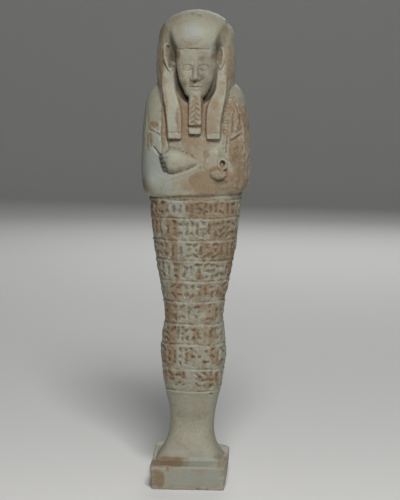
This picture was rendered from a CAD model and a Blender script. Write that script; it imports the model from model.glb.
import math

import bpy
import numpy as np
from mathutils import Matrix, Vector


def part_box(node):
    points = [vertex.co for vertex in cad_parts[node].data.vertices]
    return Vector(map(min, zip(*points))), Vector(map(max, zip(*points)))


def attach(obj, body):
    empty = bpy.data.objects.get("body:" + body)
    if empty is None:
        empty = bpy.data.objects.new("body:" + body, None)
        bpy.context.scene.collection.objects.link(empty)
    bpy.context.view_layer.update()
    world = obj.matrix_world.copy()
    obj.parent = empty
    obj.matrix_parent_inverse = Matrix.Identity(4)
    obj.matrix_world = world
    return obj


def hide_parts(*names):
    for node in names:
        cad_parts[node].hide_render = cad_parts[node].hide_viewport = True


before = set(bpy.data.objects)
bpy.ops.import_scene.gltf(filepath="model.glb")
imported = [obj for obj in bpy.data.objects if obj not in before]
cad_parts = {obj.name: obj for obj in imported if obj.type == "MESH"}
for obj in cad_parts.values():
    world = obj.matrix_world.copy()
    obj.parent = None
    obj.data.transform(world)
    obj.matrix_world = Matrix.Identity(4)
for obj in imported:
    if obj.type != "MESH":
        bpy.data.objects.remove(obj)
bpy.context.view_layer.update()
lowCorner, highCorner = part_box("ushabti")
mm = (highCorner.z - lowCorner.z) / 190.0  # shapes below are in millimetres of a 190 mm figurine
print("frame loaded, one millimetre is", round(mm, 6))

# The studio

studio = {
    "azimuth": 3.4, "distance": 900.0, "height": 212.0,  # where the camera stands
    "aimSide": 2.70, "aimHeight": 93.75, "roll": 0.43, "lens": 162.5,
    "floorFront": -3000.0, "floorHalfWidth": 3500.0, "floorGap": 0.02,
    "bendFrom": 900.0, "bendRadius": 700.0, "wallTop": 3200.0,  # behind, the floor curves up into a wall
    "floorColour": (0.78, 0.78, 0.77), "floorRoughness": 0.9,
    "worldColour": (0.93, 0.95, 1.0), "worldPower": 0.045,
    "lights": {  # where each stands, its width, power and colour
        "keyLight": ((108.0, -681.0, 673.0), 240.0, 6.9, (1.0, 0.99, 0.97)),
        "fillLight": ((423.0, -733.0, 169.0), 500.0, 0.4, (0.95, 0.97, 1.0)),
        "rimLight": ((60.0, 780.0, 430.0), 500.0, 1.6, (1.0, 1.0, 1.0)),
    },
    "lightsAim": (0.0, 0.0, 95.0),
}


def addObject(name, data):
    made = bpy.data.objects.new(name, data)
    bpy.context.scene.collection.objects.link(made)
    return made


def standFacing(spot, aim):  # the matrix of a camera or lamp at one point that looks at another
    facing = (Vector(aim) - Vector(spot)).to_track_quat("-Z", "Y").to_matrix().to_4x4()
    return Matrix.Translation(Vector(spot) * mm) @ facing


def makeCamera():
    data = bpy.data.cameras.new("frontCamera")
    data.lens = studio["lens"]
    data.sensor_width = 36.0
    data.clip_end = 20.0
    camera = addObject("frontCamera", data)
    turn = math.radians(studio["azimuth"])
    spot = Vector((math.sin(turn), -math.cos(turn), 0.0)) * studio["distance"]
    spot.z = studio["height"]
    roll = Matrix.Rotation(math.radians(studio["roll"]), 4, "Z")
    camera.matrix_world = standFacing(spot, (studio["aimSide"], 0.0, studio["aimHeight"])) @ roll
    bpy.context.scene.camera = camera


def makeLight(name, spot, size, power, colour):
    data = bpy.data.lights.new(name, "AREA")
    data.size = size * mm
    data.energy = power * (mm * 1000.0) ** 2
    data.color = colour
    addObject(name, data).matrix_world = standFacing(spot, studio["lightsAim"])


def makeSky():
    world = bpy.data.worlds.new("paleRoom")
    world.use_nodes = True
    sky = world.node_tree.nodes["Background"]
    sky.inputs["Color"].default_value = (*studio["worldColour"], 1.0)
    sky.inputs["Strength"].default_value = studio["worldPower"]
    bpy.context.scene.world = world
    bpy.context.scene.view_settings.view_transform = "Standard"


def makeFloor():  # a strip that runs back, bends up in a quarter circle and ends as a wall
    start, radius, halfWidth = studio["bendFrom"], studio["bendRadius"], studio["floorHalfWidth"]
    bend = np.linspace(0.0, math.pi / 2, 13)
    side = [(start + radius * math.sin(t), radius * (1.0 - math.cos(t))) for t in bend]
    side = [(studio["floorFront"], 0.0)] + side + [(start + radius, studio["wallTop"])]
    gap = studio["floorGap"]
    points = [(x * mm, y * mm, (z - gap) * mm) for y, z in side for x in (-halfWidth, halfWidth)]
    mesh = bpy.data.meshes.new("floor")
    mesh.from_pydata(points, [], [(i, i + 1, i + 3, i + 2) for i in range(0, len(points) - 2, 2)])
    mesh.shade_smooth()
    paint = bpy.data.materials.new("floorPaint")
    paint.use_nodes = True
    shader = paint.node_tree.nodes["Principled BSDF"]
    shader.inputs["Base Color"].default_value = (*studio["floorColour"], 1.0)
    shader.inputs["Roughness"].default_value = studio["floorRoughness"]
    mesh.materials.append(paint)
    floor = addObject("floor", mesh)


makeCamera()
for name, made in studio["lights"].items():
    makeLight(name, *made)
makeSky()
makeFloor()
print("studio ready")

# Curves and noise that any shape uses


def smooth(edgeA, edgeB, value):  # 0 before edgeA, 1 past edgeB, an S curve (3t^2 - 2t^3) between
    t = np.clip((value - edgeA) / (edgeB - edgeA), 0.0, 1.0)
    return t * t * (3.0 - 2.0 * t)


def along(stations, z):  # each column of the table at heights z, on a cubic Hermite curve through its rows
    table = np.asarray(stations, np.float32)
    knots, values = table[:, 0], table[:, 1:]
    slopes = np.gradient(values, knots, axis=0)
    z = np.clip(z, knots[0], knots[-1])
    i = np.clip(np.searchsorted(knots, z, side="right") - 1, 0, len(knots) - 2)
    span = (knots[i + 1] - knots[i])[..., None]
    t = ((z - knots[i])[..., None]) / span
    start = (2 * t**3 - 3 * t**2 + 1) * values[i] + (t**3 - 2 * t**2 + t) * span * slopes[i]
    end = (3 * t**2 - 2 * t**3) * values[i + 1] + (t**3 - t**2) * span * slopes[i + 1]
    return np.moveaxis(start + end, -1, 0).astype(np.float32)


def between(start, full, stillFull, end, value):  # 0, eased up to 1 and eased down to 0 again
    return smooth(start, full, value) * smooth(end, stillFull, value)


def latticeValue(ix, iy, iz, seed):  # a repeatable number from -1 to 1 for each corner of a lattice
    n = ix.astype(np.uint32) * np.uint32(374761393) + iy.astype(np.uint32) * np.uint32(668265263)
    n = n + iz.astype(np.uint32) * np.uint32(2246822519) + np.uint32(seed * 3266489917 % 4294967296)
    n = (n ^ (n >> np.uint32(13))) * np.uint32(1274126177)
    n = (n ^ (n >> np.uint32(16))) * np.uint32(2654435761)
    return ((n >> np.uint32(8)) & np.uint32(65535)).astype(np.float32) / 32767.5 - 1.0


def noise(x, y, z, size, seed, octaves=1):  # eased lattice values; each octave is half the size and height
    total, height, spread = 0.0, 1.0, 0.0
    for octave in range(octaves):
        p = [np.asarray(c, np.float32) / size * 2.0**octave + 37.0 for c in (x, y, z)]
        cell = [np.floor(c) for c in p]
        f = [c - k for c, k in zip(p, cell)]
        f = [t * t * (3.0 - 2.0 * t) for t in f]
        i = [k.astype(np.int64) for k in cell]
        found = 0.0
        for cx in (0, 1):
            wx = f[0] if cx else 1.0 - f[0]
            for cy in (0, 1):
                wy = f[1] if cy else 1.0 - f[1]
                for cz in (0, 1):
                    wz = f[2] if cz else 1.0 - f[2]
                    corner = latticeValue(i[0] + cx, i[1] + cy, i[2] + cz, seed + octave)
                    found = found + wx * wy * wz * corner
        total = total + found * height
        spread += height
        height *= 0.5
    return total / spread


# Solids, as distances in millimetres: below 0 inside, above 0 outside


def merge(a, b, soft):  # the nearer of two solids, with a fillet about soft wide where they meet
    h = np.clip(0.5 + 0.5 * (b - a) / soft, 0.0, 1.0)
    return b + (a - b) * h - soft * h * (1.0 - h)


def carve(a, b, soft):  # solid a with solid b taken out of it
    return -merge(-a, b, soft)


def roundEdge(a, b, corner):  # two faces that meet in a round edge, from the distances to each
    return np.hypot(np.maximum(a, 0.0), np.maximum(b, 0.0)) + np.minimum(np.maximum(a, b), 0.0) - corner


def cutOff(solid, value, stations):  # a solid cut off flat at its first and last station
    return np.maximum(solid, np.maximum(stations[0][0] - value, value - stations[-1][0]))


def ovalLoft(x, y, z, stations, middle):  # rho (1 - 1/g), where g = (|x/a|^n + |y/b|^n)^(1/n)
    halfWidth, front, back, power = along(stations, z)
    centre = np.where(front * back > 0.0, (front + back) / 2.0, 0.0)
    dx, dy = x - middle, y - centre
    reach = np.where(dy < 0.0, centre - front, back - centre)
    g = (np.abs(dx / halfWidth) ** power + np.abs(dy / reach) ** power) ** (1.0 / power)
    return cutOff(np.hypot(dx, dy) * (1.0 - 1.0 / np.maximum(g, 1e-4)), z, stations)


def ball(x, y, z, centre, radii):  # k (k - 1) / |p / r^2|, where k = |p / r| is 1 on an ellipsoid's skin
    p = [(c - o) for c, o in zip((x, y, z), centre)]
    k = np.sqrt(sum((c / r) ** 2 for c, r in zip(p, radii)))
    slope = np.sqrt(sum((c / (r * r)) ** 2 for c, r in zip(p, radii)))
    return k * (k - 1.0) / np.maximum(slope, 1e-4)


def rod(x, y, z, start, end, thick, thin):  # distance to a line, less a radius that tapers
    axis = [b - a for a, b in zip(start, end)]
    length = sum(a * a for a in axis)
    p = [c - a for c, a in zip((x, y, z), start)]
    t = np.clip(sum(c * a for c, a in zip(p, axis)) / length, 0.0, 1.0)
    away = np.sqrt(sum((c - a * t) ** 2 for c, a in zip(p, axis)))
    return away - (thick + (thin - thick) * t)


def block(x, y, z, centre, half, corner):  # distance to a box whose corners are rounded
    q = [np.abs(c - o) - h + corner for c, o, h in zip((x, y, z), centre, half)]
    outside = np.sqrt(sum(np.maximum(c, 0.0) ** 2 for c in q))
    return outside + np.minimum(np.maximum(np.maximum(q[0], q[1]), q[2]), 0.0) - corner


# The figure leans slightly to its own left: height and how far its middle lies to that side
leanStations = (
    (8, -0.3), (26, 0.15), (50, 0.35), (80, 0.6), (110, 0.75), (130, 1.0), (152, 0.65), (190, 0.7),
)


def lean(z):  # the middle of the figure at height z, on a curve through the stations
    return along(leanStations, z)[0]


# Height, half width, front, back and squareness of the wrapped body
bodyShape = {
    "legs": (
        (8, 10.9, -7, 10.5, 2.5), (12, 10.2, -6.6, 9.8, 2.5), (17, 9.35, -5.6, 8.8, 2.4),
        (22, 8.8, -5, 8.2, 2.4), (29, 9.3, -6.2, 8, 2.3), (38, 11.2, -8.3, 8.3, 2.3),
        (46, 12.35, -9.9, 8.7, 2.3), (54, 13.05, -10.9, 8.9, 2.3), (61, 12.35, -10.8, 9, 2.3),
        (67, 11.65, -10.6, 9.3, 2.3), (74, 12.35, -11, 10, 2.3), (84, 14.3, -12.1, 11.2, 2.3),
        (95, 16.1, -13.2, 12, 2.3), (106, 17.4, -14, 12, 2.35), (114.6, 18.25, -14.5, 11.7, 2.4),
        (118.5, 18.8, -14.8, 11.7, 2.45),
    ),
    "torso": (
        (117, 19.4, -15, 11.6, 2.5), (117.8, 20.2, -15.7, 12.2, 2.55), (119.8, 21, -16.1, 12.5, 2.6),
        (123, 21.55, -16.3, 12.7, 2.65), (130, 21.85, -16.2, 13, 2.7), (137, 21.55, -15.5, 13.1, 2.7),
        (144, 21, -14.6, 13.1, 2.65), (150, 20.3, -13.6, 13, 2.6), (154.5, 19.55, -12.4, 12.8, 2.5),
        (157.5, 18.3, -11, 12.4, 2.4), (160, 16.3, -9.5, 11.8, 2.3), (162.5, 12, -7.5, 11, 2.2),
    ),
    "feet": (
        (8.6, 13.2, -11, 4, 8), (11, 13, -10.9, 4, 7), (12.2, 12.3, -10.3, 4, 6),
        (16, 10.1, -8.2, 4, 4.5), (20, 8.5, -6.2, 4, 3.2), (25, 7.6, -5, 4, 2.8),
    ),
    "torsoDip": 0.045, "pillarMiddle": 9, "pillarBack": 15, "pillarHalf": 6.2, "pillarHalfTop": 5.2,
    "pillarTop": 151, "pillarEdge": 0.5,
}


def torsoSolid(x, y, z):  # the torso, whose lower edge dips to the figure's right
    dip = bodyShape["torsoDip"] * np.clip(x, -20.0, 20.0) * smooth(127.0, 119.0, z)
    return ovalLoft(x, y, z - dip, bodyShape["torso"], lean(z))


def pillarSolid(x, y, z):  # an upright slab behind the legs and back, narrower at its top
    share = (z - baseShape["height"]) / (bodyShape["pillarTop"] - baseShape["height"])
    half = bodyShape["pillarHalf"] + (bodyShape["pillarHalfTop"] - bodyShape["pillarHalf"]) * share
    across = np.abs(x - lean(z) * 0.6) - half + bodyShape["pillarEdge"]
    behind = np.abs(y - bodyShape["pillarMiddle"]) - (bodyShape["pillarBack"] - bodyShape["pillarMiddle"])
    slab = roundEdge(across, behind + bodyShape["pillarEdge"], bodyShape["pillarEdge"])
    return np.maximum(slab, z - bodyShape["pillarTop"])


headShape = {
    "wig": (
        (149.4, 11.6, -9, 14.2, 2.6), (150.2, 12.6, -10, 15, 2.6), (153, 13.5, -10.8, 15.3, 2.6),
        (158, 14.8, -11.2, 15.1, 2.9), (163, 15.4, -11.4, 14.7, 3.1), (170, 15.65, -11.3, 14.1, 3.1),
        (175, 15.35, -10.6, 13.6, 2.9), (180, 14.3, -9.4, 12.4, 2.5),
    ),
    "dome": ((0.9, -1.1, 178.6), (15, 14.5, 11.45)), "bandHeight": 175.1, "bandArch": 0.012,
    "face": (
        (154.8, 1.4, -12.2, -6, 2), (155.4, 2.5, -14.2, -6, 2), (156.4, 3.7, -15.1, -6, 2.1),
        (158.6, 5, -15.3, -6, 2.2), (162.4, 6.6, -15.3, -6, 2.3), (166.5, 7.55, -15.2, -6, 2.4),
        (170, 7.95, -15.2, -6, 2.4), (176.5, 7.9, -14.3, -6, 2.5),
    ),
    "faceMiddle": 1.3,
    # height, inner edge, outer edge and front of a lappet, from the middle of the figure
    "lappet": (
        (139.8, 5.2, 10, -16.7), (146, 5.1, 10.3, -16.1), (152, 5.6, 11.3, -15),
        (156, 6.9, 12.2, -13.8), (160, 8, 12.6, -12.3), (165, 8.8, 12.4, -10.6), (170, 9.4, 12, -9),
    ),
    "beard": ((141.8, 2.25, -17.2), (144.6, 2.3, -16.9), (151, 2.25, -16.2), (158, 2, -15.3)),
    "beardMiddle": 1.2,
    "lappetSide": (0.3, 0.45), "beardSide": (0.2, 0.6),  # how fast a bar widens to the back, edge radius
}


def barSection(across, half, y, front, slope, corner):  # a bar that widens by slope for each step back
    side = np.abs(across) - half - slope * np.clip(y - front, 0.0, 3.5)
    edge = roundEdge(side * (1.0 + slope * slope) ** -0.5 + corner, front - y + corner, corner)
    return np.maximum(edge, y + 4.0)


def lappetSolid(x, y, z, side):  # a flat band that widens up to the wig and sinks into it
    inner, outer, front = along(headShape["lappet"], z)
    across = x - lean(z) - side * (inner + outer) / 2.0
    bar = barSection(across, (outer - inner) / 2.0, y, front, *headShape["lappetSide"])
    return cutOff(bar, z, headShape["lappet"])


def lappetBlend(z):  # crisp at the lower end, softer where it joins the wig
    return 0.4 + 1.8 * smooth(151.0, 160.0, z)


def beardSolid(x, y, z):  # a plaited bar under the chin
    halfWidth, front = along(headShape["beard"], z)
    bar = barSection(x - headShape["beardMiddle"], halfWidth, y, front, *headShape["beardSide"])
    return cutOff(bar, z, headShape["beard"])


# The parts of the face in the order they are added: how softly each meets the rest, then an oval's middle
# and radii or a line's ends and radii. Places across are from the middle of the face
faceShape = {
    "socket": (0.9, (3.35, -16.5, 167.5), (2.5, 1.55, 1.35)),
    "eye": (0.15, (3.35, -14.15, 167.15), (1.75, 1.35, 0.85)),
    "brow": (0.6, (1.5, -14.75, 169.35), (5.8, -13.1, 169.2), 0.55, 0.4),
    "cheek": (1.3, (4.0, -13.4, 164.3), (2.7, 2.15, 3.0)),
    "chin": (1.0, (0.0, -14.1, 157.2), (2.3, 1.9, 1.5)),
    "noseBridge": (0.8, (0.0, -14.5, 169.3), (0.0, -16.7, 164.1), 0.75, 1.15),
    "noseWing": (0.45, (1.2, -15.6, 163.5), (0.95, 1.1, 0.8)),
    "upperLip": (0.4, (0.0, -15.45, 160.85), (2.5, -14.7, 160.5), 0.62, 0.25),
    "lowerLip": (0.4, (0.0, -15.3, 159.35), (1.9, -14.75, 159.75), 0.72, 0.32),
}
earShape = {  # middle of the rim, half width, half height, tilt in degrees
    "rightEar": ((-9.6, -10.4, 171.3), 1.25, 5.3, 12.0),
    "leftEar": ((10.8, -10.4, 171.2), 1.1, 3.9, -6.0),
    "rim": 0.75, "lobe": 0.85, "turn": 0.5,
    "sunk": 0.3, "dishHalf": 1.3,  # how far the dish lies behind the rim, and half its thickness
    "hollow": ((-8.8, -10.3, 175.0), (-8.1, -10.3, 167.0), 1.3, 0.95),
}
# The sunk border round the face: height, half width, front, back and squareness
faceWell = (
    (152.6, 3, -30, -11, 4), (154.5, 5.2, -30, -9.2, 4), (157.5, 7.3, -30, -8.2, 4),
    (162.4, 8.6, -30, -7.8, 4), (166.5, 9.1, -30, -7.8, 4), (170, 9.3, -30, -8, 4),
    (174.6, 9.2, -30, -8.4, 4), (177, 9, -30, -9, 4),
)
handShape = {
    "rightHand": (  # along x from the fingers to the wrist: x, middle height, half height, half thickness
        (-10.3, 130.8, 3.1, 1.6), (-9.4, 130.7, 4.2, 2.6), (-7.2, 130.8, 4.6, 3.2), (-3.6, 131.0, 3.6, 2.8),
        (-0.2, 130.9, 2.2, 2.0), (2.6, 130.8, 0.8, 1.1),
    ),
    "depth": -15.4,
    "fingers": ((-12.0, 133.0), (-11.7, 131.3), (-11.2, 129.6), (-10.4, 128.0)), "finger": 0.8,
    "fist": ((8.5, -13.5, 131.4), (3.2, 3.1, 5.2), 2.5), "heel": ((10.4, -15.4, 126.0), (3.4, 2.6, 2.3)),
    "fistRing": (12.2, -16.2, 130.0), "ringRadii": (1.6, 2.0), "ringBar": 0.5,
}


def faceSolid(x, y, z):  # a loft with the parts of faceShape added, mirrored, and the sockets taken out
    found = ovalLoft(x, y, z, headShape["face"], headShape["faceMiddle"])
    u = np.abs(x - headShape["faceMiddle"])
    for name, (soft, *made) in faceShape.items():
        d = ball(u, y, z, *made) if len(made) == 2 else rod(u, y, z, *made)
        found = carve(found, d, soft) if name == "socket" else merge(found, d, soft)
    return found


def earHollow(x, y, z):  # the cup of the ear on the figure's right, open to the border of the face
    return rod(x, y, z, *earShape["hollow"])


def earSolid(x, y, z):  # an oval ring on each side of the face, the left one with a dish in it
    found = None
    for name in ("rightEar", "leftEar"):
        (cx, cy, cz), halfWidth, halfHeight, tilt = earShape[name]
        c, s = math.cos(math.radians(tilt)), math.sin(math.radians(tilt))
        u, v = (x - cx) * c + (z - cz) * s, (z - cz) * c - (x - cx) * s
        inward = u if name == "rightEar" else -u
        back = y - cy - earShape["turn"] * inward
        bar = earShape["rim"] * smooth(0.8, -0.3, inward / halfWidth)  # thinner beside the face
        g = np.maximum((np.abs(u / halfWidth) ** 2.3 + np.abs(v / halfHeight) ** 2.3) ** (1.0 / 2.3), 0.05)
        flat = np.hypot(u, v) * (1.0 - 1.0 / g)
        ring = np.hypot(flat, back * 0.8) - bar
        lobe = np.sqrt(u * u + (v + halfHeight - 0.5) ** 2 + (back * 0.8) ** 2) - earShape["lobe"]
        ear = np.minimum(ring, lobe)
        if name == "leftEar":
            behind = back - earShape["sunk"] - earShape["dishHalf"]
            dish = np.maximum(flat, np.abs(behind) - earShape["dishHalf"])
            ear = np.minimum(ear, dish)
        found = ear if found is None else np.minimum(found, ear)
    return found


def bandAt(x):  # height of the brow band, an arch
    return headShape["bandHeight"] - headShape["bandArch"] * (x - headShape["dome"][0][0]) ** 2


def domeSolid(x, y, z):  # the crown of the wig, an ellipsoid cut off along the brow band
    return np.maximum(ball(x, y, z, *headShape["dome"]), (bandAt(x) - z) * 0.8)


def faceWellSolid(x, y, z):  # the sunk border round the face, up to the brow band
    return np.maximum(ovalLoft(x, y, z, faceWell, headShape["faceMiddle"]), z - bandAt(x))


# Tapered lines in pairs, the one on the figure's right first: ends and radii of each
linePairs = {
    "templeHollows": (  # the valley where the brow of the wig turns in to each temple
        ((-8.4, -12.6, 171.5), (-12.6, -10.4, 184.0), 2.7, 1.5),
        ((10.1, -12.6, 172.0), (13.7, -10.2, 184.0), 2.6, 1.5),
    ),
    "templeCreases": (  # the deep narrow line at the foot of each valley, beside the face
        ((-7.5, -9.1, 171.0), (-10.0, -9.7, 179.0), 1.35, 0.1),
        ((9.7, -9.1, 173.0), (11.3, -9.7, 179.2), 1.15, 0.1),
    ),
    "forearms": (  # under the wrapping, crossing from the elbows to the hands
        ((-14.0, -9.9, 122.5), (5.0, -12.6, 129.5), 4.2, 3.6),
        ((16.0, -9.4, 122.5), (-4.0, -12.8, 131.0), 4.0, 3.4),
    ),
}


def linePair(name):  # the solid that a pair of tapered lines makes
    first, second = linePairs[name]
    return lambda x, y, z: np.minimum(rod(x, y, z, *first), rod(x, y, z, *second))


templeHollows, templeCreases, forearms = (linePair(name) for name in linePairs)


def rightHandSolid(x, y, z):  # an oval section carried along x, with four finger ends
    middle, tall, deep = along(handShape["rightHand"], x)
    g = np.sqrt(((y - handShape["depth"]) / deep) ** 2 + ((z - middle) / tall) ** 2)
    side = np.hypot(y - handShape["depth"], z - middle) * (1.0 - 1.0 / np.maximum(g, 1e-4))
    found = cutOff(side, x, handShape["rightHand"])
    for fx, fz in handShape["fingers"]:
        end = rod(x, y, z, (fx + 2.6, -16.6, fz + 0.3), (fx, -15.2, fz - 0.5), 1.0, handShape["finger"])
        found = merge(found, end, 0.12)
    return found


def leftHandSolid(x, y, z):  # a fist with a ring beside it and the round heel of the hand below
    fist = block(x, y, z, *handShape["fist"])
    heel = ball(x, y, z, *handShape["heel"])
    cx, cy, cz = handShape["fistRing"]
    halfWidth, halfHeight = handShape["ringRadii"]
    u, v = x - cx, z - cz
    g = np.maximum(np.sqrt((u / halfWidth) ** 2 + (v / halfHeight) ** 2), 0.05)
    ring = np.hypot(np.hypot(u, v) * (1.0 - 1.0 / g), (y - cy) * 0.6) - handShape["ringBar"]
    hole = ball(x, y, z, (cx, cy - 1.2, cz), (halfWidth - 0.5, 3.2, halfHeight - 0.5))
    return carve(merge(merge(fist, heel, 0.5), ring, 0.4), hole, 0.2)


# Every solid of the figure: what it is, its lowest and highest point, how softly it meets the rest, and
# whether it is joined on or taken out
figureSolids = (
    (lambda x, y, z: ovalLoft(x, y, z, bodyShape["legs"], lean(z)), 8.0, 118.5, None, True),
    (lambda x, y, z: ovalLoft(x, y, z, bodyShape["feet"], -0.4), 8.6, 26.0, 1.2, True),
    (torsoSolid, 115.5, 162.5, 0.25, True),
    (lambda x, y, z: ovalLoft(x, y, z, headShape["wig"], lean(z)), 148.5, 181.0, 0.6, True),
    (pillarSolid, 8.0, 152.0, 0.9, True),
    (forearms, 114.0, 138.0, 2.5, True),
    (lambda x, y, z: lappetSolid(x, y, z, -1.0), 139.0, 171.5, lappetBlend, True),
    (lambda x, y, z: lappetSolid(x, y, z, 1.0), 139.0, 171.5, lappetBlend, True),
    (domeSolid, 170.0, 190.0, 0.8, True),
    (faceWellSolid, 152.0, 176.5, 0.5, False),
    (templeHollows, 166.0, 188.0, 3.0, False),
    (templeCreases, 169.0, 181.0, 1.3, False),
    (earHollow, 164.0, 178.0, 0.9, False),
    (earSolid, 164.0, 179.5, 0.3, True),
    (faceSolid, 154.0, 177.0, 0.35, True),
    (beardSolid, 141.0, 158.5, 0.25, True),
    (rightHandSolid, 122.0, 137.0, 0.35, True),
    (leftHandSolid, 120.0, 138.0, 0.35, True),
)


def figureDistance(x, y, z):  # the solids joined or taken out in order, less those far above or below
    low, high = min(float(z.min()), 188.0), float(z.max())  # points over the crown still meet it
    found = None
    for solid, start, end, soft, joined in figureSolids:
        if high < start - 1.0 or low > end + 1.0:
            continue
        d = solid(x, y, z)
        soft = soft(z) if callable(soft) else soft
        if found is None:
            found = d
        else:
            found = merge(found, d, soft) if joined else carve(found, d, soft)
    return found


# The skin: spokes from the middle of the figure, row by row from under the base to the crown

skin = {
    "columns": 540, "frontShare": 1.7,  # extra columns across the front
    "legStep": 0.25, "torsoStep": 0.22, "headStep": 0.2, "crownRows": 90,  # gaps between rows
    "legsTo": 117.0, "torsoTo": 157.0, "crownFrom": 178.0, "triangles": 196000,
    "outside": 30.0, "stride": 0.6, "closeEnough": 0.006, "tries": 100,  # how a spoke finds the skin
    # height and half width of the line that spokes start from
    "spread": (
        (8, 5), (29, 5), (54, 6.5), (74, 6.8), (106, 9), (125, 11), (150, 10.5), (163, 8.6), (178, 8),
    ),
}
baseShape = {
    "height": 9.6, "side": -0.35, "halfWidth": 15.3, "front": -22.0, "back": 16.0, "taper": 0.9,
    "frontCorner": 1.4, "backCorner": (4.8, 5.6), "bottomEdge": 0.5, "topEdge": 0.8, "middle": (-0.3, 1.5),
    "rise": 1.9, "rollBack": -0.03,  # how much higher the back is, and its change across
    "footSpread": 0.9, "footSpreadHeight": 1.3,  # the foot is wider just above the base
}
coarse = 1.0


def columnSpokes():  # where each spoke starts and its turn: nearly parallel in front, a fan behind
    u = np.linspace(-math.pi, math.pi, 8001)
    t = np.abs(u) / (math.pi / 2)
    behind = np.clip(t - 1.0, 0.0, 1.0)
    turn = np.sign(u) * math.pi / 2 * np.where(t < 1.0, t**3, 1.0 + behind)
    start = np.sign(u) * np.where(t < 1.0, np.sin(np.abs(u)), np.cos(behind * math.pi / 2) ** 3)
    halfWidth, halfDepth, spread = 20.0, 14.0, 10.5  # an oval to space the columns on
    dx, dy = np.sin(turn) / halfWidth, -np.cos(turn) / halfDepth
    ox = start * spread / halfWidth
    square, cross, rest = dx * dx + dy * dy, dx * ox, ox * ox - 1.0
    reach = (-cross + np.sqrt(cross**2 - square * rest)) / square
    x, y = (ox + reach * dx) * halfWidth, reach * dy * halfDepth
    density = 1.0 + skin["frontShare"] * smooth(1.25, 1.0, t)
    steps = np.hypot(np.diff(x), np.diff(y)) * (density[1:] + density[:-1]) / 2.0
    total = np.concatenate([[0.0], np.cumsum(steps)])
    count = int(skin["columns"] / coarse)
    spot = (np.arange(count) + 0.5) / count * total[-1]
    return [np.interp(spot, total, c).astype(np.float32)[None, :] for c in (start, turn)]


def baseRadius(turnX, turnY, inset):  # how far a spoke runs to the base's rounded outline, by halving
    middleX, middleY = baseShape["middle"]
    centreY = (baseShape["front"] + baseShape["back"]) / 2.0
    near, far = np.zeros_like(turnX), np.full_like(turnX, 45.0)
    for _ in range(22):
        reach = (near + far) / 2.0
        px, py = middleX + reach * turnX - baseShape["side"], middleY + reach * turnY - centreY
        atBack = np.where(px < 0.0, *baseShape["backCorner"])
        corner = np.where(py < 0.0, baseShape["frontCorner"], atBack)
        qx = np.abs(px) - (baseShape["halfWidth"] - inset) + corner
        qy = np.abs(py) - (centreY - baseShape["front"] - inset) + corner
        d = roundEdge(qx, qy, corner)
        near, far = np.where(d < 0.0, reach, near), np.where(d < 0.0, far, reach)
    return near


def riseAt(x, y):  # how much higher the top of the base is than at its front
    return (baseShape["rise"] + baseShape["rollBack"] * x) * smooth(-12.0, 13.0, y)


def walkIn(origin, direction):  # from outside, steps in by the distance to the figure until the skin
    reach = np.full(direction[0].shape, skin["outside"], np.float32)
    for _ in range(skin["tries"]):
        d = figureDistance(*(o + reach * c for o, c in zip(origin, direction)))
        reach = reach - np.clip(d, -1.0, 4.0) * skin["stride"]
        if float(np.abs(d).max()) < skin["closeEnough"]:
            break
    return reach


def figureRows():  # level spokes up to the crown, then spokes that tilt up to the top
    start, turn = columnSpokes()
    turnX, turnY = np.sin(turn), -np.cos(turn)
    height = baseShape["height"]
    levels = [np.arange(height + 0.05, skin["legsTo"], skin["legStep"] * coarse)]
    levels.append(np.arange(levels[-1][-1] + 0.15, skin["torsoTo"], skin["torsoStep"] * coarse))
    levels.append(np.arange(levels[-1][-1] + 0.15, skin["crownFrom"], skin["headStep"] * coarse))
    levels = np.concatenate(levels)
    tilt = np.linspace(0.0, math.pi / 2, int(skin["crownRows"] / coarse) + 1)[1:-1]
    z = np.concatenate([levels, np.full(len(tilt), skin["crownFrom"])])[:, None].astype(np.float32)
    tilt = np.concatenate([np.zeros(len(levels)), tilt])[:, None].astype(np.float32)
    spread = along(skin["spread"], z)[0] * np.cos(tilt)
    y = 1.5 * smooth(60.0, 25.0, z)
    flat = np.zeros_like(start)
    rise = riseAt(10.0 * turnX, 10.0 * turnY) * smooth(24.0, height, z)  # as the base slopes
    origin = [lean(z) + start * spread, y + flat, z + rise]
    direction = [turnX * np.cos(tilt), turnY * np.cos(tilt), np.sin(tilt) + flat]
    slabs = [slice(i, i + 24) for i in range(0, len(z), 24)]
    reach = np.concatenate([walkIn([c[i] for c in origin], [c[i] for c in direction]) for i in slabs])
    low = np.clip(1.0 - (z - height) / baseShape["footSpreadHeight"], 0.0, 1.0)
    reach = reach + baseShape["footSpread"] * low**2 * smooth(-0.6, 0.0, -turnY)
    top = [np.full((1, 1), c, np.float32) for c in (float(lean(z[-1:])[0, 0]), 0.0, skin["crownFrom"])]
    crown = float(walkIn(top, [flat[:, :1], flat[:, :1], flat[:, :1] + 1.0])[0, 0])
    place = np.array([o + reach * c for o, c in zip(origin, direction)])
    return place, np.array(direction), (float(top[0][0, 0]), 0.0, skin["crownFrom"] + crown)


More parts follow.
